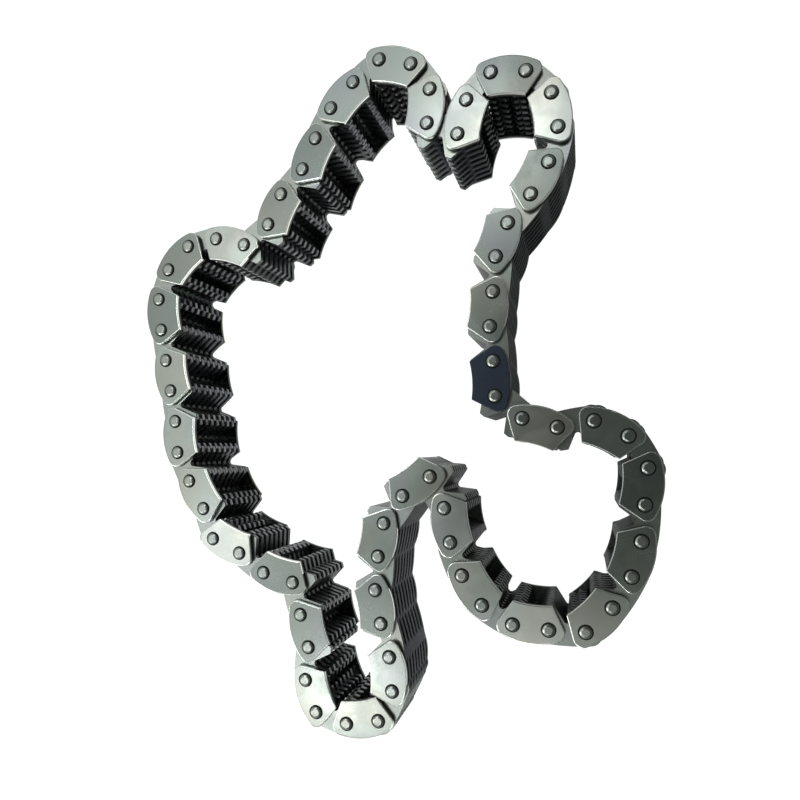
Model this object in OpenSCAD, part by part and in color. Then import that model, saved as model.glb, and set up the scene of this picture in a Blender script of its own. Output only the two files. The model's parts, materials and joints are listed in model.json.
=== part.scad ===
// Pump drive chain: an endless silent chain that stands on the ends of its pins and
// lies in a loose, wavy loop. Toothed plates of neighbouring links are interleaved on
// round pins, and all teeth point into the loop. Every second link is closed on both
// sides by a guide plate without teeth, riveted to the link's two pins.

/* [Chain] */
// Distance between neighbouring pin axes
pitch = 9.525; // [9.4:0.005:9.9]
// Toothed plates in a knuckle link, one more than in a guide link
knuckle_plates = 8; // [2:1:12]
// Thickness of every plate
plate_t = 1.7; // [1:0.1:2.5]
// Gap between the sides of neighbouring plates
side_gap = 0.05; // [0.04:0.01:0.2]
// Angle of a plate's end flanks from its height
flank_angle = 30; // [27:1:32]

/* [Toothed plates] */
// Height of the back above the pin axes
tooth_back_h = 4.4; // [4:0.1:4.6]
// Radius of the slightly crowned back
tooth_back_r = 57; // [40:1:100]
// Rounding between back and flank
tooth_end_r = 3; // [2.8:0.1:3.3]
// Depth of the tooth tips below the pin axes
tooth_depth = 6.3; // [5.8:0.1:6.6]
// Distance from a pin axis out to the corner of flank and tip
tip_out = 0.4; // [0:0.05:0.5]
// Flat width of a tip between its roundings
tip_flat = 1.2; // [0.8:0.1:1.6]
// Rounding of the tip's corners
tip_r = 0.45; // [0.2:0.05:0.6]
// Depth of the top of the tooth gap below the pin axes
gap_top = 1.6; // [1.2:0.1:2]
// Radius of the arch at the top of the tooth gap
gap_r = 0.95; // [0.7:0.05:1.2]

/* [Guide plates] */
// Height of the back above the pin axes
guide_back_h = 4.5; // [4:0.1:4.7]
// Radius of the crowned back
guide_back_r = 18.6; // [16:0.1:22]
// Rounding between back and flank
guide_end_r = 2.4; // [2.2:0.1:2.8]
// Depth of the lower corners below the pin axes
guide_depth = 6.4; // [6:0.1:6.8]
// Distance from a pin axis out to a lower corner
guide_corner_out = 0.5; // [0:0.05:0.6]
// Rounding of the lower corners
guide_corner_r = 0.4; // [0.2:0.05:0.8]
// Rise of the hollow lower edge in its middle
guide_hollow = 0.5; // [0.2:0.1:1]

/* [Pins] */
// Diameter of a pin
pin_d = 3.2; // [2.6:0.1:3.4]
// How far the riveted head is wider than the pin, all round
rivet_spread = 0.1; // [0.05:0.05:0.3]
// Height of the riveted head outside the guide plate
rivet_h = 0.5; // [0.3:0.1:1]
// Bevel of the riveted head
rivet_bevel = 0.2; // [0.1:0.05:0.25]
// Radial gap between a pin and the knuckle links' plates, which turn on it
running_gap = 0.05; // [0.02:0.01:0.1]
// Radial gap between a pin and the toothed plates of its own guide link
own_gap = 0.03; // [0.02:0.01:0.1]
// Gap drawn at the guide plates' press fit and rivets, which keeps the pieces apart
press_gap = 0.01; // [0.005:0.005:0.02]

/* [Hidden] */
$fn = 48;
large_fn = 360;

// Directions of links 0 to 67 in degrees, counterclockwise from +X, chosen by eye
right_lobe = [345, 10, 335, 300, 265, 265, 255, 240, 225, 180, 175, 150, 125, 110, 100, 115];
lower_lobe = [215, 235, 260, 265, 280, 285, 275, 245, 190, 165, 110, 85, 105, 105];
left_side = [165, 145, 155, 110, 120, 115, 95, 100, 100, 100, 95, 70, 45, 10];
rise_to_top = [345, 35, 65, 45, 65, 60, 45, 35, 345, 305, 265];
top_lobe = [335, 75, 45, 355, 315, 280, 255, 240, 230, 250, 265, 265, 275];
chosen = concat(right_lobe, lower_lobe, left_side, rise_to_top, top_lobe);

// Pairs of links that point exactly opposite ways. Both links of a pair swing by the
// same angle, which keeps the loop closed, and the links between them keep their
// directions, so these stay together in groups of one to three.
pairs = [
    [30, 44], [25, 0], [41, 64], [12, 53], [36, 67], [51, 16], [27, 5],
    [34, 3], [49, 62], [57, 8], [46, 23], [38, 20], [14, 60], [32, 55]
];
// The link whose upper guide plate is a dark one
marked_link = 68;

function dir(a) = [cos(a), sin(a)];
function angle(v) = atan2(v[1], v[0]);
function sum(v, i = 0) = i == len(v) - 1 ? v[i] : v[i] + sum(v, i + 1);

// The last two links close the loop: they are the equal sides of the triangle over the
// distance that the others leave open, bent outward.
open_side = -sum([for (a = chosen) dir(a)]);
half_bend = acos(norm(open_side) / 2);
headings = concat(chosen, [angle(open_side) - half_bend, angle(open_side) + half_bend]);
links = len(headings);

// Pin places along the loop, then moved so that their box is centred on the origin
walk = [for (i = 0, p = [0, 0]; i < links; p = p + pitch * dir(headings[i]), i = i + 1) p];
function middle(v, axis) = (max([for (p = v) p[axis]]) + min([for (p = v) p[axis]])) / 2;
pins = [for (p = walk) p - [middle(walk, 0), middle(walk, 1)]];

// Groups of links that keep together, each given by its first and last link
function swings(k) = len([for (p = pairs) if (p[0] == k || p[1] == k) p]) > 0;
starts = [for (k = [0:links - 1]) if (k == 0 || swings(k) || swings(k - 1)) k];
function group_end(i) = (i + 1 < len(starts) ? starts[i + 1] : links) - 1;
groups = [for (i = [0:len(starts) - 1]) [starts[i], group_end(i)]];
function two_digits(n) = str(n < 10 ? "0" : "", n);
function kind(k) = k % 2 == 0 ? "guide_link_" : "knuckle_link_";
function group_name(g) =
    g[0] == g[1]
        ? str(kind(g[0]), two_digits(g[0]))
        : str("links_", two_digits(g[0]), "_to_", two_digits(g[1]));

// Sizes that follow from those above
layers = 2 * knuckle_plates + 1;
layer_step = plate_t + side_gap;
stack_w = layers * layer_step - side_gap;
pin_r = pin_d / 2;
rivet_r = pin_r + rivet_spread;

// How far straight sides and large arcs run inside the roundings that they meet, so that
// each pair crosses at a clean point
tuck = 0.005;

// Centre of a rounding with radius r that touches the flank through the given corner
// and lies at distance d from the point c
function rounding(corner, r, c, d) =
    let (
        q = corner - r * dir(-flank_angle),
        up = dir(90 - flank_angle),
        b = (q - c) * up
    )
    q + (sqrt(b * b - (q - c) * (q - c) + d * d) - b) * up;

// The point of a rounding that a straight side runs to, at the given direction
function met(centre, r, direction) = centre + (r - tuck) * dir(direction);

// Outline points of a plate's right half, from outside the back to the flank
function back_and_end(back, end, end_r) =
    [end + 2 * end_r * dir(angle(end - back)), end, met(end, end_r, -flank_angle)];

// A right half's points, followed by the same points on the left
function both_halves(right) =
    let (n = len(right))
    concat(right, [for (i = [n - 1:-1:0]) [-right[i][0], right[i][1]]]);

module both_sides() {
    children();
    mirror([1, 0]) children();
}

tooth_corner = [pitch / 2 + tip_out, -tooth_depth];
tooth_back = [0, tooth_back_h - tooth_back_r];
tooth_end_off = tooth_back_r - tooth_end_r + tuck;
tooth_end = rounding(tooth_corner, tooth_end_r, tooth_back, tooth_end_off);
// Centres of the tip's two roundings, and of the arch at the top of the tooth gap
tip_outer = tooth_corner + tip_r * [-tan(45 - flank_angle / 2), 1];
tip_inner = tip_outer - [tip_flat, 0];
arch = [0, -gap_top - gap_r];
// The gap's straight side touches the arch and the tip's inner rounding
gap_side = angle(tip_inner - arch) + acos((tip_r + gap_r) / norm(tip_inner - arch));

// Outline of a toothed plate, with its pins' axes on X and its teeth pointing to -Y
module toothed_outline() {
    half = concat(
        back_and_end(tooth_back, tooth_end, tooth_end_r),
        [
            met(tip_outer, tip_r, -flank_angle),
            tip_outer,
            met(tip_outer, tip_r, -90),
            met(tip_inner, tip_r, -90),
            tip_inner,
            met(tip_inner, tip_r, gap_side + 180),
            met(arch, gap_r, gap_side)
        ]
    );
    difference() {
        union() {
            intersection() {
                translate(tooth_back) circle(tooth_back_r, $fn = large_fn);
                polygon(both_halves(half));
            }
            both_sides() {
                translate(tooth_end) circle(tooth_end_r);
                translate(tip_outer) circle(tip_r);
                translate(tip_inner) circle(tip_r);
            }
        }
        translate(arch) circle(gap_r);
    }
}

guide_corner = [pitch / 2 + guide_corner_out, -guide_depth];
guide_back = [0, guide_back_h - guide_back_r];
guide_end_off = guide_back_r - guide_end_r + tuck;
guide_end = rounding(guide_corner, guide_end_r, guide_back, guide_end_off);
// Radius and centre of the hollow lower edge, and centre of the corner's rounding
hollow_r = (guide_corner[0] * guide_corner[0] / guide_hollow + guide_hollow) / 2;
hollow = [0, guide_hollow - guide_depth - hollow_r];
guide_low_off = hollow_r + guide_corner_r - tuck;
guide_low = rounding(guide_corner, guide_corner_r, hollow, guide_low_off);

// Outline of a guide plate, placed as the toothed one
module guide_outline() {
    half = concat(
        back_and_end(guide_back, guide_end, guide_end_r),
        [
            met(guide_low, guide_corner_r, -flank_angle),
            guide_low,
            guide_low + 2 * guide_corner_r * dir(angle(hollow - guide_low))
        ]
    );
    difference() {
        union() {
            intersection() {
                translate(guide_back) circle(guide_back_r, $fn = large_fn);
                polygon(both_halves(half));
            }
            both_sides() {
                translate(guide_end) circle(guide_end_r);
                translate(guide_low) circle(guide_corner_r);
            }
        }
        translate(hollow) circle(hollow_r, $fn = large_fn);
    }
}

// A plate of the outline drawn by its child, in the given layer counted from below,
// with its first pin's axis on Z
module plate(layer, bore_r) {
    translate([pitch / 2, 0, rivet_h + layer * layer_step])
        linear_extrude(plate_t)
            difference() {
                children();
                both_sides() translate([pitch / 2, 0]) circle(bore_r);
            }
}

module toothed_plates(first_layer, bore_r) {
    color("#3b3e41")
        for (layer = [first_layer:2:layers - first_layer])
            plate(layer, bore_r) toothed_outline();
}

module guide_plate(layer) {
    color("#8d928b") plate(layer, pin_r + press_gap) guide_outline();
}

// A round pin, riveted over the guide plates at both ends
module pin() {
    pin_end = stack_w + 2 * rivet_h;
    head_h = rivet_h - press_gap;
    color("#c9ccce")
        rotate_extrude()
            polygon([
                [0, 0],
                [rivet_r - rivet_bevel, 0],
                [rivet_r, rivet_bevel],
                [rivet_r, head_h],
                [pin_r, head_h],
                [pin_r, pin_end - head_h],
                [rivet_r, pin_end - head_h],
                [rivet_r, pin_end - rivet_bevel],
                [rivet_r - rivet_bevel, pin_end],
                [0, pin_end]
            ]);
}

// Two pins with a guide plate outside and toothed plates in every second layer between
module guide_link(with_upper_plate) {
    guide_plate(0);
    if (with_upper_plate) guide_plate(layers - 1);
    toothed_plates(2, pin_r + own_gap);
    for (x = [0, pitch]) translate([x, 0, 0]) pin();
}

// Toothed plates in the layers that the guide links leave, turning on their pins
module knuckle_link() {
    toothed_plates(1, pin_r + running_gap);
}

module in_loop(k) {
    translate([pins[k][0], pins[k][1], 0]) rotate(headings[k]) children();
}

module link(k) {
    in_loop(k) {
        if (k % 2 == 0) guide_link(k != marked_link);
        else knuckle_link();
    }
}

module marked_guide_plate() {
    color("#1d222b")
        in_loop(marked_link) plate(layers - 1, pin_r + press_gap) guide_outline();
}

for (g = groups)
    union() {
        for (k = [g[0]:g[1]]) link(k);
    }
marked_guide_plate();
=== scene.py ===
# Finishes, worn edges with painted highlights and painted shade, and studio for an endless silent chain
import json
import math
import re
import bpy
import numpy as np
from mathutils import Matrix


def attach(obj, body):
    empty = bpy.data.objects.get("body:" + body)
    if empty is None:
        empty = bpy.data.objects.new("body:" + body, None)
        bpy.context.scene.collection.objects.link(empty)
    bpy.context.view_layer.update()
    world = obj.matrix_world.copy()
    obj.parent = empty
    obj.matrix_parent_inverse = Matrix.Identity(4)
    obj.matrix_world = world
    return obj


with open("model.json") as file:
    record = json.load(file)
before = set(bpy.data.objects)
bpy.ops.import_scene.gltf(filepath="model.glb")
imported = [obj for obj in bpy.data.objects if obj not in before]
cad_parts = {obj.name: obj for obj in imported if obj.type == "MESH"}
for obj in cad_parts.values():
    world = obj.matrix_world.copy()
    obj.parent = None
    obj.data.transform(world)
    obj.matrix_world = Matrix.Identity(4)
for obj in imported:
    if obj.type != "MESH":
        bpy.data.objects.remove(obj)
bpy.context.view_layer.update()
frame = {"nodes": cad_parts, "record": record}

mm = 0.001


# Camera: looks down on the loop, a little from the right

camera = {
    "place": (0.0552, -0.0162, 0.2280),
    "tilt": (0.771, 14.826, 0.0),  # degrees about X, Y and Z
    "lens": 32.73,
    "sensor": 36.0,
    "shift": (0.0110, 0.0484),
    "nearest": 0.01,  # closest that it sees
}


def setCamera(values):
    data = bpy.data.cameras.new("chain_camera")
    data.lens = values["lens"]
    data.sensor_width = values["sensor"]
    data.shift_x, data.shift_y = values["shift"]
    data.clip_start = values["nearest"]
    holder = bpy.data.objects.new("chain_camera", data)
    holder.location = values["place"]
    holder.rotation_euler = [math.radians(a) for a in values["tilt"]]
    bpy.context.scene.collection.objects.link(holder)
    bpy.context.scene.camera = holder


setCamera(camera)
print("Camera set")


# Helpers for node trees

def newGroup(name, inputs, outputs):
    tree = bpy.data.node_groups.new(name, "ShaderNodeTree")
    for label, kind, value in inputs:
        socket = tree.interface.new_socket(name=label, in_out="INPUT", socket_type=kind)
        socket.default_value = value
    for label, kind in outputs:
        tree.interface.new_socket(name=label, in_out="OUTPUT", socket_type=kind)
    return tree, tree.nodes.new("NodeGroupInput"), tree.nodes.new("NodeGroupOutput")


def addNode(tree, kind, settings=None, **sockets):
    node = tree.nodes.new(kind)
    for key, value in (settings or {}).items():
        setattr(node, key, value)
    for key, value in sockets.items():
        slot = node.inputs[int(key[2:])] if key.startswith("in") else node.inputs[key.replace("_", " ")]
        if isinstance(value, bpy.types.NodeSocket):
            tree.links.new(value, slot)
        else:
            slot.default_value = value
    return node


def sums(tree, operation, first, second=0.0):
    node = addNode(tree, "ShaderNodeMath", {"operation": operation}, in0=first, in1=second)
    return node.outputs[0]


def remap(tree, value, low, high, toLow=0.0, toHigh=1.0):
    node = addNode(tree, "ShaderNodeMapRange", {"interpolation_type": "SMOOTHSTEP"},
                   in0=value, in1=low, in2=high, in3=toLow, in4=toHigh)
    return node.outputs[0]


def makeRamp(tree, stops):
    # Each stop is a position and a colour; a new ramp has two stops already
    ramp = tree.nodes.new("ShaderNodeValToRGB")
    elements = ramp.color_ramp.elements
    for i, (position, colour) in enumerate(stops):
        stop = elements.new(position) if i > 1 else elements[i]
        stop.position = position
        stop.color = (*colour, 1)
    return ramp


def mixColour(tree, factor, first, second, blend="MIX"):
    node = tree.nodes.new("ShaderNodeMix")
    node.data_type = "RGBA"
    node.blend_type = blend
    for slot, value in ((node.inputs[0], factor), (node.inputs[6], first), (node.inputs[7], second)):
        if isinstance(value, bpy.types.NodeSocket):
            tree.links.new(value, slot)
        elif slot.type == "RGBA":
            slot.default_value = (*value[:3], 1.0)
        else:
            slot.default_value = value
    return node.outputs[2]


# Shared effects, with the scale of each texture in features per metre

wearMask = {
    "bend": (0.02, 0.22),    # turn of the normal from flat metal to the full edge mark
    "patchScale": 420.0,
    "patches": (0.35, 0.6),  # noise from kept to left out of the edge mark
}


def makeEdgeWearAndPaintedLight():
    # Mask that is 1 on edges and 0 on flat metal. The edge colour it brings in is partly real wear and partly
    # painted light: a painted highlight on most edges, painted shade on the tooth tips and plate backs
    tree, given, result = newGroup(
        "edge_wear",
        [("Radius", "NodeSocketFloat", 0.2 * mm), ("Breaks", "NodeSocketFloat", 0.3)],
        [("Mask", "NodeSocketFloat")],
    )
    bevel = addNode(tree, "ShaderNodeBevel", {"samples": 6}, Radius=given.outputs["Radius"])
    flat = addNode(tree, "ShaderNodeNewGeometry")
    turned = addNode(tree, "ShaderNodeVectorMath", {"operation": "DOT_PRODUCT"},
                     in0=bevel.outputs[0], in1=flat.outputs["Normal"])
    bend = sums(tree, "SUBTRACT", 1.0, turned.outputs["Value"])
    edge = remap(tree, bend, *wearMask["bend"])
    place = addNode(tree, "ShaderNodeTexCoord")
    patches = addNode(tree, "ShaderNodeTexNoise", Vector=place.outputs["Object"],
                      Scale=wearMask["patchScale"], Detail=3.0)
    worn = remap(tree, patches.outputs[0], *wearMask["patches"])
    kept = sums(tree, "SUBTRACT", 1.0, sums(tree, "MULTIPLY", worn, given.outputs["Breaks"]))
    tree.links.new(sums(tree, "MULTIPLY", edge, kept), result.inputs["Mask"])
    return tree


fineDents = {
    "scale": 700.0,
    "rim": (0.05, 0.22),  # distance from a dent's middle to its rim, as a share of its cell
}


def makeFineGrain():
    # Matt grain of tumbled steel, with a few small dents
    tree, given, result = newGroup(
        "fine_grain",
        [("Scale", "NodeSocketFloat", 2400.0), ("Dents", "NodeSocketFloat", 0.5)],
        [("Height", "NodeSocketFloat"), ("Speck", "NodeSocketFloat")],
    )
    place = addNode(tree, "ShaderNodeTexCoord")
    grain = addNode(tree, "ShaderNodeTexNoise", Vector=place.outputs["Object"],
                    Scale=given.outputs["Scale"], Detail=4.0, Roughness=0.6)
    cells = addNode(tree, "ShaderNodeTexVoronoi", Vector=place.outputs["Object"],
                    Scale=fineDents["scale"], Randomness=1.0)
    dents = remap(tree, cells.outputs["Distance"], *fineDents["rim"])
    pressed = sums(tree, "MULTIPLY", dents, given.outputs["Dents"])
    tree.links.new(sums(tree, "ADD", grain.outputs[0], pressed), result.inputs["Height"])
    tree.links.new(grain.outputs[0], result.inputs["Speck"])
    return tree


oilFilm = {
    "film": (0.38, 0.66),  # noise from dry to oily
    "driftScale": 60.0,
    # Places along the drift, and the tint at each
    "tints": ((0.35, (1.0, 0.97, 0.9)), (0.65, (0.95, 0.95, 1.0)), (0.5, (0.94, 1.0, 0.96))),
}


def makeSmudges():
    # Broad faint patches of dried oil, and a slow drift of tint from plate to plate
    tree, given, result = newGroup(
        "smudges",
        [("Scale", "NodeSocketFloat", 130.0)],
        [("Film", "NodeSocketFloat"), ("Tint", "NodeSocketColor")],
    )
    place = addNode(tree, "ShaderNodeTexCoord")
    broad = addNode(tree, "ShaderNodeTexNoise", Vector=place.outputs["Object"],
                    Scale=given.outputs["Scale"], Detail=5.0, Roughness=0.55, Distortion=0.6)
    tree.links.new(remap(tree, broad.outputs[0], *oilFilm["film"]), result.inputs["Film"])
    drift = addNode(tree, "ShaderNodeTexNoise", Vector=place.outputs["Object"],
                    Scale=oilFilm["driftScale"], Detail=1.0)
    ramp = makeRamp(tree, oilFilm["tints"])
    tree.links.new(drift.outputs[0], ramp.inputs[0])
    tree.links.new(ramp.outputs[0], result.inputs["Tint"])
    return tree


layerStack = {
    "bottom": 0.5 * mm,  # height of the lowest plate
    "step": 1.75 * mm,   # from plate to plate
    "middle": 0.486,     # a plate's middle, as a share of the step
}


def makePlateLayers():
    # The rolled edges of each plate in the stack, worked out from its height
    tree, given, result = newGroup(
        "plate_layers",
        [("Bottom", "NodeSocketFloat", layerStack["bottom"]), ("Step", "NodeSocketFloat", layerStack["step"]),
         ("Width", "NodeSocketFloat", 0.12), ("Roll", "NodeSocketFloat", 1.0)],
        [("Line", "NodeSocketFloat"), ("Normal", "NodeSocketVector")],
    )
    place = addNode(tree, "ShaderNodeTexCoord")
    parts = addNode(tree, "ShaderNodeSeparateXYZ", in0=place.outputs["Object"])
    raised = sums(tree, "SUBTRACT", parts.outputs[2], given.outputs["Bottom"])
    share = sums(tree, "FRACT", sums(tree, "DIVIDE", raised, given.outputs["Step"]))
    offset = sums(tree, "SUBTRACT", share, layerStack["middle"])
    fromMiddle = sums(tree, "ABSOLUTE", offset)
    start = sums(tree, "SUBTRACT", layerStack["middle"], given.outputs["Width"])
    line = addNode(tree, "ShaderNodeMapRange", {"interpolation_type": "SMOOTHSTEP"},
                   in0=fromMiddle, in1=start, in2=layerStack["middle"])
    tree.links.new(line.outputs[0], result.inputs["Line"])
    # The normal leans up towards a plate's upper edge and down towards its lower one
    lean = sums(tree, "MULTIPLY", sums(tree, "SIGN", offset), line.outputs[0])
    up = addNode(tree, "ShaderNodeCombineXYZ", in2=sums(tree, "MULTIPLY", lean, given.outputs["Roll"]))
    flat = addNode(tree, "ShaderNodeNewGeometry")
    leaned = addNode(tree, "ShaderNodeVectorMath", {"operation": "ADD"},
                     in0=flat.outputs["Normal"], in1=up.outputs[0])
    unit = addNode(tree, "ShaderNodeVectorMath", {"operation": "NORMALIZE"}, in0=leaned.outputs[0])
    tree.links.new(unit.outputs[0], result.inputs["Normal"])
    return tree


effects = {
    "wear": makeEdgeWearAndPaintedLight(),
    "grain": makeFineGrain(),
    "smudges": makeSmudges(),
    "layers": makePlateLayers(),
}
print("Shared effects made:", len(effects))


def useEffect(tree, name, **sockets):
    node = tree.nodes.new("ShaderNodeGroup")
    node.node_tree = effects[name]
    for key, value in sockets.items():
        node.inputs[key].default_value = value
    return node


# Materials

def makeSteel(name, values):
    material = bpy.data.materials.new(name)
    material.use_nodes = True
    tree = material.node_tree
    shader = tree.nodes["Principled BSDF"]
    shader.inputs["Metallic"].default_value = values["metallic"]
    shader.inputs["Specular Tint"].default_value = (*[values["grazing"]] * 3, 1.0)
    smudges = useEffect(tree, "smudges", Scale=values["smudgeScale"])
    grain = useEffect(tree, "grain", Scale=values["grainScale"], Dents=values["dents"])
    wear = useEffect(tree, "wear", Radius=values["edgeMarkWidth"] * mm, Breaks=values["edgeMarkBreaks"])
    base = mixColour(tree, values["tint"], values["colour"], smudges.outputs["Tint"], "MULTIPLY")
    film = sums(tree, "MULTIPLY", smudges.outputs["Film"], values["film"])
    filmed = mixColour(tree, film, base, values["filmColour"])
    # The edge colour along the mask: partly real wear, partly a painted highlight, and on the tooth tips and
    # plate backs painted shade
    shade = mixColour(tree, wear.outputs["Mask"], filmed, values["wornColour"])
    spread = values["roughSpread"]
    specks = remap(tree, grain.outputs["Speck"], *values["speckTurn"], -spread, spread)
    rough = sums(tree, "ADD", specks, values["roughness"])
    rough = sums(tree, "ADD", rough, sums(tree, "MULTIPLY", smudges.outputs["Film"], values["filmRoughness"]))
    bump = addNode(tree, "ShaderNodeBump", Strength=values["bump"], Distance=values["bumpDepth"] * mm,
                   Height=grain.outputs["Height"])
    # Stack walls: each plate's edge lines take the edge colour, a painted highlight on roots and flanks and
    # painted shade on tips and backs
    if "line" in values:
        layers = useEffect(tree, "layers", Width=values["lineWidth"], Roll=values["roll"])
        faded = sums(tree, "MULTIPLY", layers.outputs["Line"], values["line"])
        shade = mixColour(tree, faded, shade, values["wornColour"])
        tree.links.new(layers.outputs["Normal"], bump.inputs["Normal"])
    tree.links.new(shade, shader.inputs["Base Color"])
    tree.links.new(rough, shader.inputs["Roughness"])
    tree.links.new(bump.outputs[0], shader.inputs["Normal"])
    return material


# Widths and depths are in millimetres. The walls of the stacks also have "line", the strength
# of each plate's edge line, "lineWidth", a share of the step, and "roll", how far its normal leans.
# The line brings in the edge colour: a painted highlight on the roots and flanks, painted shade on the tips
# and backs
steel = {
    "metallic": 1.0,
    "colour": (0.58, 0.61, 0.58),
    "tint": 0.8,   # share of the drift of tint that shows
    "film": 0.25,  # how strongly the oil's colour covers the metal
    "filmColour": (0.50, 0.53, 0.50),
    "filmRoughness": 0.05,
    # edge colour: partly real wear, partly a painted highlight on the rounded edges
    "wornColour": (0.86, 0.88, 0.86),
    "edgeMarkWidth": 0.3,
    "edgeMarkBreaks": 0.3,
    "roughness": 0.2,
    "roughSpread": 0.008,
    "speckTurn": (0.3, 0.7),
    "smudgeScale": 130.0,
    "grainScale": 2400.0,
    "dents": 0.15,
    "bump": 0.006,
    "bumpDepth": 0.02,
    "grazing": 1.0,  # how bright the metal is when seen along its surface
}

finishes = {
    "guide_face": makeSteel("satin_guide_face", steel),
    # Lighter and darker copies of the guide face: painted light and painted shade
    "lit_guide_face": makeSteel("lit_guide_face", {
        **steel, "colour": (0.80, 0.82, 0.78), "filmColour": (0.72, 0.74, 0.70)}),
    "shaded_guide_face": makeSteel("shaded_guide_face", {
        **steel, "colour": (0.355, 0.385, 0.365), "filmColour": (0.31, 0.335, 0.32), "roughness": 0.23}),
    # Near-black walls of the guide plates: partly the dull cut face of the stamping, partly painted shade in
    # the dark bands beside the plates
    "guide_edge": makeSteel("stamped_and_shaded_guide_edge", {
        **steel, "colour": (0.05, 0.058, 0.052), "filmColour": (0.03, 0.034, 0.032),
        "wornColour": (0.3, 0.32, 0.3), "roughness": 0.38, "edgeMarkWidth": 0.15}),
    "tooth_face": makeSteel("toothed_plate_face", {
        **steel, "colour": (0.52, 0.55, 0.53), "filmColour": (0.42, 0.45, 0.43),
        "wornColour": (0.6, 0.62, 0.6), "roughness": 0.22, "edgeMarkWidth": 0.15}),
    # Near-black tooth roots and flanks: oil and painted shade in the hollows between the teeth, with their
    # lighter edge lines a painted highlight
    "tooth_root": makeSteel("oiled_and_shaded_tooth_root", {
        **steel, "metallic": 0.85, "colour": (0.012, 0.013, 0.016), "filmColour": (0.007, 0.008, 0.010),
        "wornColour": (0.06, 0.063, 0.068), "edgeMarkWidth": 0.1, "roughness": 0.35,
        "line": 0.5, "lineWidth": 0.1, "roll": 0.7}),
    "tooth_flank": makeSteel("oiled_and_shaded_tooth_flank", {
        **steel, "metallic": 0.9, "colour": (0.026, 0.028, 0.033), "filmColour": (0.010, 0.011, 0.013),
        "wornColour": (0.15, 0.157, 0.17), "edgeMarkWidth": 0.12, "roughness": 0.33,
        "line": 0.35, "lineWidth": 0.12, "roll": 0.45}),
    # Tooth tips lighter than the flanks: partly rubbed metal, partly a painted highlight; their dark edge
    # lines are painted shade between the plates
    "tooth_tip": makeSteel("rubbed_and_lit_tooth_tip", {
        **steel, "colour": (0.16, 0.165, 0.176), "filmColour": (0.02, 0.022, 0.026), "film": 0.95,
        "wornColour": (0.025, 0.026, 0.03), "edgeMarkWidth": 0.03, "roughness": 0.35, "smudgeScale": 420.0,
        "line": 1.0, "lineWidth": 0.32, "roll": 0.4}),
    # Dark backs of the stacks; their darker edge colour and lines are painted shade in the gaps between the
    # plates
    "back_edge": makeSteel("shaded_slate_back_edge", {
        **steel, "colour": (0.028, 0.033, 0.039), "filmColour": (0.015, 0.018, 0.023),
        "wornColour": (0.005, 0.006, 0.008), "edgeMarkWidth": 0.1, "roughness": 0.35, "grazing": 0.6,
        "line": 0.55, "lineWidth": 0.1, "roll": 0.2}),
    "pin_shaft": makeSteel("pin_shaft", {**steel, "colour": (0.45, 0.47, 0.46)}),
    "pin_head": makeSteel("riveted_pin_head", {
        **steel, "colour": (0.50, 0.53, 0.50), "bump": 0.4, "dents": 1.0, "grainScale": 1500.0}),
    # Dark upper side of each pin end: painted shade on the head's side wall
    "pin_cone": makeSteel("shaded_pin_head_side", {
        **steel, "colour": (0.12, 0.125, 0.12), "filmColour": (0.06, 0.063, 0.06),
        "wornColour": (0.2, 0.21, 0.2), "roughness": 0.3}),
    # Near-black ring and lower side round each pin's foot: painted shadow on the plate and painted shade on
    # the pin's side
    "pin_side": makeSteel("shadowed_pin_foot", {
        **steel, "metallic": 0.8, "colour": (0.025, 0.027, 0.026), "filmColour": (0.012, 0.013, 0.012),
        "wornColour": (0.06, 0.063, 0.06), "roughness": 0.4}),
    # Rims lighter than the plate faces: partly a burnished edge, partly a painted highlight; the marked
    # plate's rim is likewise a little lighter than its face
    "rolled_rim": makeSteel("burnished_and_lit_rolled_rim", {
        **steel, "colour": (0.90, 0.92, 0.88), "filmColour": (0.82, 0.84, 0.81), "roughness": 0.16}),
    "dark_face": makeSteel("dark_plate_face", {
        **steel, "metallic": 0.3, "colour": (0.023, 0.038, 0.068), "filmColour": (0.031, 0.044, 0.064),
        "wornColour": (0.05, 0.07, 0.1), "roughness": 0.35}),
    "dark_rim": makeSteel("dark_rolled_rim", {
        **steel, "metallic": 0.3, "colour": (0.035, 0.047, 0.068), "filmColour": (0.035, 0.047, 0.068),
        "wornColour": (0.10, 0.12, 0.15), "roughness": 0.3}),
}
print("Finishes made:", len(finishes))


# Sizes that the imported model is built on, in millimetres

chain = {
    "firstLayer": 0.5,
    "plate": 1.7,
    "topLayer": 28.5,
    "pinRadius": 1.6,
    "height": 30.7,
    "links": 70,
    "pitch": 9.525,
    "overhang": 1.7,   # how far a plate reaches past its link's pins, along the link
    "tipDepth": 6.1,   # edges further in than this are tooth tips
    "rootDepth": 2.9,  # and between these two are the flanks
    "slack": 0.005,    # two heights or radii closer than this are the same
}
chain["topFace"] = chain["topLayer"] + chain["plate"]


def readMesh(node):
    # Every vertex in millimetres, and the corners of every triangle
    mesh = node.data
    places = np.zeros(len(mesh.vertices) * 3)
    mesh.vertices.foreach_get("co", places)
    places = places.reshape(-1, 3) / mm
    corners = np.zeros(len(mesh.polygons) * 3, int)
    mesh.polygons.foreach_get("vertices", corners)
    return places, corners.reshape(-1, 3)


def findPins(places):
    # Centres of the pins' upper ends
    tops = places[places[:, 2] > chain["height"] - chain["slack"]][:, :2]
    centres = []
    while len(tops):
        near = np.linalg.norm(tops - tops[0], axis=1) < chain["pitch"] / 2
        centres.append((tops[near].min(0) + tops[near].max(0)) / 2)
        tops = tops[~near]
    return np.array(centres).reshape(-1, 2)


def linksOf(name):
    # Numbers of the links that a node holds, read from its name
    numbers = [int(n) for n in re.findall(r"\d+", name)]
    return list(range(numbers[0], numbers[-1] + 1)) if numbers else []


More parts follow.
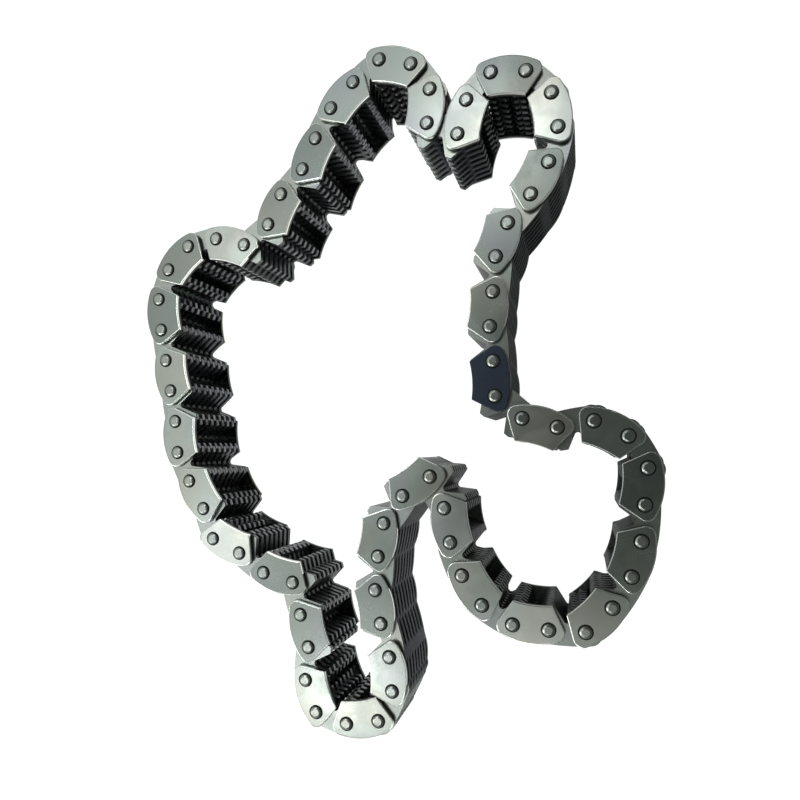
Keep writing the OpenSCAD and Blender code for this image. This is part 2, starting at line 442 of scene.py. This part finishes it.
def orderPins():
    # Every guide link g turns on pins g and g + 1; its second pin is the one nearer to link g + 2
    ends = {}
    for name, node in frame["nodes"].items():
        centres = findPins(readMesh(node)[0])
        if len(centres):
            ends[next(k for k in linksOf(name) if k % 2 == 0)] = centres
    ordered = {}
    for link, centres in ends.items():
        ahead = ends[(link + 2) % chain["links"]]
        reach = np.linalg.norm(centres[:, None] - ahead[None], axis=2).min(1)
        ordered[link], ordered[link + 1] = centres[np.argsort(-reach)]
    return ordered


def findDepth(name, spots):
    # How far each spot lies from its link's line of pins, towards the tooth tips
    depth = np.full(len(spots), -chain["pitch"])  # behind every link
    for link in linksOf(name):
        start, end = pinPlaces[link], pinPlaces[(link + 1) % chain["links"]]
        along = (end - start) / np.linalg.norm(end - start)
        run = (spots - start) @ along
        inward = (spots - start) @ np.array([along[1], -along[0]])
        near = np.abs(run - chain["pitch"] / 2) < chain["pitch"] / 2 + chain["overhang"]
        depth = np.where(near, np.maximum(depth, inward), depth)
    return depth


pinPlaces = orderPins()

# Guide plates painted lighter or darker than the others, by their link's number: painted light and painted
# shade for plates that, a little out of true on their pins, catch more or less light
litPlates = (0, 10, 32, 60)
shadedPlates = (4, 6, 16, 18, 20, 28, 30, 40, 42, 46, 48, 58, 62, 64, 66)


def giveFinishes(name, node):
    # One finish for each kind of surface on a node
    links = linksOf(name)
    face = "guide_face"
    if any(link in litPlates for link in links):
        face = "lit_guide_face"
    elif any(link in shadedPlates for link in links):
        face = "shaded_guide_face"
    order = [face, "guide_edge", "tooth_face", "tooth_flank", "pin_shaft", "pin_head",
             "tooth_root", "tooth_tip", "back_edge"]
    if not links:
        order = ["dark_face", "dark_rim"]
    node.data.materials.clear()
    for key in order:
        node.data.materials.append(finishes[key])
    places, corners = readMesh(node)
    first, second, third = (places[corners[:, i]] for i in range(3))
    middle = (first + second + third) / 3
    across = np.cross(second - first, third - first)
    across /= np.maximum(np.linalg.norm(across, axis=1, keepdims=True), 1e-12)
    upright = np.abs(across[:, 2]) < 0.5  # walls, not faces
    faceSlot, edgeSlot, toothSlot = 0, 1, 2  # as the order starts
    if not links:
        index = np.where(upright, edgeSlot, faceSlot)
    else:
        slack = chain["slack"]
        low = chain["firstLayer"] + chain["plate"] + slack
        high = chain["topLayer"] - slack
        guide = (middle[:, 2] < low) | (middle[:, 2] > high)
        depth = findDepth(name, middle[:, :2])
        wall = np.select(
            [depth > chain["tipDepth"], depth > chain["rootDepth"], depth > 0],
            [order.index("tooth_tip"), order.index("tooth_flank"), order.index("tooth_root")],
            order.index("back_edge"))
        onGuide = np.where(upright, edgeSlot, faceSlot)
        index = np.where(guide, onGuide, np.where(upright, wall, toothSlot))
        pins = findPins(places)
        if len(pins):
            reach = np.linalg.norm(middle[:, None, :2] - pins[None], axis=2).min(1)
            onPin = reach < chain["pinRadius"] + slack
            atEnd = (middle[:, 2] > chain["topFace"] + slack) | (middle[:, 2] < chain["firstLayer"] - slack)
            index = np.where(onPin, order.index("pin_shaft"), index)
            index = np.where(atEnd, order.index("pin_head"), index)
    node.data.polygons.foreach_set("material_index", index.astype(np.int32))
    node.data.update()


for nodeName, node in sorted(frame["nodes"].items()):
    giveFinishes(nodeName, node)
print("Finishes given to", len(frame["nodes"]), "nodes")


# Rolled rims and pin ends

rim = {
    # Each pair is how far out of the plate's outline a point lies, and how far above its face
    "profile": (
        (-0.26, -0.02), (-0.24, 0.06),   # inner step
        (-0.12, 0.045), (-0.03, 0.015),  # two slopes that catch the lamps
        (0.02, -0.03), (0.025, -0.06),   # rolled edge
        (0.025, -0.72), (-0.02, -0.75),  # the smooth half of the cut, down the plate's edge
    ),
    "mitreLimit": 0.3,  # keeps the profile from running out at sharp corners
}

# Radii and heights in millimetres
pinEnd = {
    "ring": 2.07,       # radius of the dark ring round the foot, a painted shadow on the plate
    "ringRise": 0.008,  # its height above the plate
    "foot": 1.86,
    "footRise": 0.014,
    "side": 0.3,        # height of the lower cone above the plate
    "waist": 1.74,      # radius at its top
    "shoulder": 1.57,   # radius where the upper cone meets the slope
    "flat": 1.05,       # radius of the flat middle
    "rise": 0.03,       # height of the shoulder above the pin's end
    "crown": 0.18,      # further rise of the slope
    "ease": 0.55,       # how far the slope levels out towards the middle
    "slopeSteps": (0.04, 0.1, 0.3, 0.5, 0.7, 0.88, 0.96),  # shares of the way in
    "flatSteps": (0.98, 0.9, 0.45),                        # shares of the flat's radius
    "sides": 40,
}


def makeMesh(name, points, faces, finish, body):
    mesh = bpy.data.meshes.new(name)
    mesh.from_pydata([tuple(p * mm for p in point) for point in points], [], faces)
    mesh.materials.append(finish)
    mesh.update()
    piece = bpy.data.objects.new(name, mesh)
    bpy.context.scene.collection.objects.link(piece)
    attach(piece, body)
    return piece


def findOutline(places, corners, level):
    # The longest loop round the flat faces at a height, with the metal on its left
    flat = corners[(np.abs(places[corners][:, :, 2] - level) < chain["slack"]).all(1)]
    edges = {(int(a), int(b)) for tri in flat for a, b in zip(tri, np.roll(tri, -1))}
    follow = {a: b for a, b in edges if (b, a) not in edges}
    loops = []
    while follow:
        start = next(iter(follow))
        loop = [start]
        while loop[-1] in follow:
            loop.append(follow.pop(loop[-1]))
        loops.append(places[loop[:-1]][:, :2])
    return max(loops, key=lambda loop: np.linalg.norm(np.roll(loop, -1, 0) - loop, axis=1).sum())


def makeRims(name, node, body, finish):
    places, corners = readMesh(node)
    points, faces = [], []
    for level, up in ((chain["topFace"], 1), (chain["firstLayer"], -1)):
        if not (np.abs(places[:, 2] - level) < chain["slack"]).any():
            continue
        loop = findOutline(places, corners, level)
        if up < 0:
            loop = loop[::-1]
        ahead = np.roll(loop, -1, 0) - loop
        ahead /= np.linalg.norm(ahead, axis=1, keepdims=True)
        normal = np.stack([ahead[:, 1], -ahead[:, 0]], 1)
        mitre = normal + np.roll(normal, 1, 0)  # outward at each corner
        mitre /= np.maximum((mitre * normal).sum(1, keepdims=True), rim["mitreLimit"])
        first = len(points)
        for place, out in zip(loop, mitre):
            points += [(*(place + out * o), level + up * h) for o, h in rim["profile"]]
        n = len(rim["profile"])
        for i in range(len(loop)):
            a, b = first + i * n, first + (i + 1) % len(loop) * n
            for j in range(n - 1):
                quad = (a + j, a + j + 1, b + j + 1, b + j)
                faces.append(quad if up > 0 else quad[::-1])
    if points:
        makeMesh(name, points, faces, finish, body)


def pinEndProfile():
    # Pairs of radius and height, from the ring in to the middle
    top, height = chain["topFace"], chain["height"] + pinEnd["rise"]
    ease, width = pinEnd["ease"], pinEnd["shoulder"] - pinEnd["flat"]
    profile = [
        (pinEnd["ring"], top + pinEnd["ringRise"]), (pinEnd["foot"], top + pinEnd["footRise"]),
        (pinEnd["waist"], top + pinEnd["side"]), (pinEnd["shoulder"], height),
    ]
    for s in pinEnd["slopeSteps"]:
        risen = s * (2 - ease * s) / (2 - ease)
        profile.append((pinEnd["shoulder"] - width * s, height + pinEnd["crown"] * risen))
    profile += [(pinEnd["flat"] * s, height + pinEnd["crown"]) for s in pinEnd["flatSteps"]]
    return profile


def makePinEnds(name, node, body):
    places, _ = readMesh(node)
    profile = pinEndProfile()
    crown = chain["height"] + pinEnd["rise"] + pinEnd["crown"]
    points, faces, onSide = [], [], []
    for x, y in findPins(places):
        first, n, m = len(points), len(profile), pinEnd["sides"]
        for i in range(m):
            a = 2 * math.pi * i / m
            points += [(x + r * math.cos(a), y + r * math.sin(a), z) for r, z in profile]
        points.append((x, y, crown))
        for i in range(m):
            a, b = first + i * n, first + (i + 1) % m * n
            faces += [(a + j, b + j, b + j + 1, a + j + 1) for j in range(n - 1)]
            faces.append((a + n - 1, b + n - 1, first + m * n))
            onSide += [1, 1, 2] + [0] * (n - 3)  # ring and lower cone, upper cone, head
    piece = makeMesh(name, points, faces, finishes["pin_head"], body)
    piece.data.materials.append(finishes["pin_side"])
    piece.data.materials.append(finishes["pin_cone"])
    piece.data.polygons.foreach_set("material_index", onSide)
    piece.data.polygons.foreach_set("use_smooth", [not side for side in onSide])


bodyOf = {n: body for body, nodes in frame["record"]["behaviour"]["bodies"].items() for n in nodes}
for nodeName, node in sorted(frame["nodes"].items()):
    places, _ = readMesh(node)
    dark = nodeName == "marked_guide_plate"
    if places[:, 2].max() > chain["topFace"] - chain["slack"]:
        kind, slot = ("dark_rim", "dark_plate") if dark else ("rolled_rim", "steel")
        makeRims(nodeName + "_rims", node, bodyOf[nodeName], finishes[kind])
    if places[:, 2].max() > chain["height"] - chain["slack"]:
        makePinEnds(nodeName + "_pin_ends", node, bodyOf[nodeName])
print("Rims and pin ends made")


# Studio

studio = {
    "floor": 3.0,
    "floorColour": (0.35, 0.35, 0.35),
    "floorRoughness": 0.9,
    "floorGlow": 1.0,      # lifts the floor to white in view
    "mirroredGlow": 0.95,  # and in the metal
    "rightGlow": 0.3,      # share of that on the right: painted shade in what the metal mirrors there
    "rightTurn": (0.008, 0.032),  # where left becomes right, along X
}


def makeSquare(name, half):
    mesh = bpy.data.meshes.new(name)
    corners = [(-half, -half, 0), (half, -half, 0), (half, half, 0), (-half, half, 0)]
    mesh.from_pydata(corners, [], [(0, 1, 2, 3)])
    return mesh


def makeFloor(values):
    mesh = makeSquare("studio_floor", values["floor"] / 2)
    material = bpy.data.materials.new("pale_floor")
    material.use_nodes = True
    tree = material.node_tree
    shader = tree.nodes["Principled BSDF"]
    shader.inputs["Base Color"].default_value = (*values["floorColour"], 1)
    shader.inputs["Roughness"].default_value = values["floorRoughness"]
    shader.inputs["Emission Color"].default_value = (1, 1, 1, 1)
    path = addNode(tree, "ShaderNodeLightPath")
    seen = sums(tree, "MULTIPLY", path.outputs["Is Camera Ray"], values["floorGlow"])
    place = addNode(tree, "ShaderNodeTexCoord")
    parts = addNode(tree, "ShaderNodeSeparateXYZ", in0=place.outputs["Object"])
    # The floor's glow in the metal is dimmed on the right: painted shade in its reflection
    glossy = remap(tree, parts.outputs[0], *values["rightTurn"], values["mirroredGlow"],
                   values["mirroredGlow"] * values["rightGlow"])
    glow = sums(tree, "ADD", seen, sums(tree, "MULTIPLY", path.outputs["Is Glossy Ray"], glossy))
    tree.links.new(glow, shader.inputs["Emission Strength"])
    mesh.materials.append(material)
    floor = bpy.data.objects.new("studio_floor", mesh)
    bpy.context.scene.collection.objects.link(floor)


# A dark card round the camera: the metal under it mirrors it, and the camera doesn't see it
card = {
    "place": (0.0628, -0.0028, 0.2330),
    "half": 0.15,
    "solid": 0.062,   # radius that is fully dark
    "clear": 0.130,   # radius where it has faded out
    "colour": (0.30, 0.30, 0.30),
    "glow": (0.026, 0.028, 0.023),
}


def makeCard(values):
    mesh = makeSquare("dark_card", values["half"])
    material = bpy.data.materials.new("faded_dark_card")
    material.use_nodes = True
    tree = material.node_tree
    shader = tree.nodes["Principled BSDF"]
    shader.inputs["Base Color"].default_value = (*values["colour"], 1)
    shader.inputs["Roughness"].default_value = 1.0
    shader.inputs["Specular IOR Level"].default_value = 0.0
    shader.inputs["Emission Color"].default_value = (*values["glow"], 1)
    shader.inputs["Emission Strength"].default_value = 1.0
    place = addNode(tree, "ShaderNodeTexCoord")
    away = addNode(tree, "ShaderNodeVectorMath", {"operation": "LENGTH"}, in0=place.outputs["Object"])
    cover = remap(tree, away.outputs["Value"], values["solid"], values["clear"], 1.0, 0.0)
    tree.links.new(cover, shader.inputs["Alpha"])
    mesh.materials.append(material)
    sheet = bpy.data.objects.new("dark_card", mesh)
    sheet.location = values["place"]
    sheet.visible_camera = False
    sheet.visible_diffuse = False
    bpy.context.scene.collection.objects.link(sheet)


# Soft boxes in a ring overhead: degrees from straight up, bearing from +X, half width, brightness
lamps = {
    "top_box": {"lean": 25.3, "bearing": 101.5, "half": 5.0, "light": 2.6},
    "left_box": {"lean": 31, "bearing": 149.5, "half": 2.2, "light": 2.2},
    "side_box": {"lean": 28.8, "bearing": -165, "half": 2.8, "light": 1.75},
    "lower_box": {"lean": 27.2, "bearing": -130.5, "half": 3.2, "light": 4.4},
    # these shine into the open middle of the loop, where only rims and pin ends mirror them
    "near_strip": {"lean": 20.5, "bearing": 177, "half": 3.6, "light": 4.2},
    "middle_strip": {"lean": 20.8, "bearing": 156, "half": 3.8, "light": 4.5},
    "far_strip": {"lean": 22.3, "bearing": 132, "half": 3.2, "light": 3.6},
    "front_strip": {"lean": 28, "bearing": -98, "half": 4.5, "light": 5.0},
    # low on the left, past what any flat face mirrors
    "low_window": {"lean": 46, "bearing": -147, "half": 11, "light": 2.6},
}
lampDistance = 1.5


def makeLamp(name, values):
    lean, bearing = math.radians(values["lean"]), math.radians(values["bearing"])
    size = 2 * lampDistance * math.tan(math.radians(values["half"]))
    data = bpy.data.lights.new(name, "AREA")
    data.shape = "DISK"
    data.size = size
    # Power of a disc of this size that is as bright as given
    data.energy = values["light"] * math.pi * math.pi * size * size / 4
    lamp = bpy.data.objects.new(name, data)
    lamp.location = (lampDistance * math.sin(lean) * math.cos(bearing),
                     lampDistance * math.sin(lean) * math.sin(bearing),
                     lampDistance * math.cos(lean))
    lamp.rotation_euler = (-lamp.location).to_track_quat("-Z", "Y").to_euler()
    bpy.context.scene.collection.objects.link(lamp)


# Room light by angle from straight up, on the left and on the right
sky = {
    "left": ((90, 0.38), (55, 0.42), (36, 0.56), (27, 0.55), (20, 0.35), (14, 0.37)),
    "right": ((90, 0.32), (66, 0.24), (50, 0.06), (30, 0.08), (20, 0.20), (14, 0.37)),
    "turn": (-0.25, 0.1),  # where left becomes right, as a share of the way along X
    "colour": (0.96, 1.0, 0.975),
    "farTint": (0.985, 1.0, 1.05),  # over the far side of the loop
    "farTurn": (0.15, 0.4),
    "shown": (1.0, 1.0, 1.0),  # past the floor, in view
}


def makeSky(values):
    world = bpy.data.worlds.new("studio_sky")
    world.use_nodes = True
    tree = world.node_tree
    place = addNode(tree, "ShaderNodeTexCoord")
    parts = addNode(tree, "ShaderNodeSeparateXYZ", in0=place.outputs["Generated"])
    halves = []
    for side in ("left", "right"):
        stops = [(math.cos(math.radians(lean)), [grey * c for c in values["colour"]])
                 for lean, grey in values[side]]
        ramp = makeRamp(tree, stops)
        tree.links.new(parts.outputs[2], ramp.inputs[0])
        halves.append(ramp.outputs[0])
    turned = remap(tree, parts.outputs[0], *values["turn"])
    room = mixColour(tree, turned, *halves)
    far = remap(tree, parts.outputs[1], *values["farTurn"])
    tinted = mixColour(tree, far, room, values["farTint"], "MULTIPLY")
    path = addNode(tree, "ShaderNodeLightPath")
    shown = mixColour(tree, path.outputs["Is Camera Ray"], tinted, values["shown"])
    tree.links.new(shown, tree.nodes["Background"].inputs[0])
    bpy.context.scene.world = world


makeFloor(studio)
makeCard(card)
for lampName, values in lamps.items():
    makeLamp(lampName, values)
makeSky(sky)
bpy.context.scene.view_settings.view_transform = "Standard"
print("Studio ready")
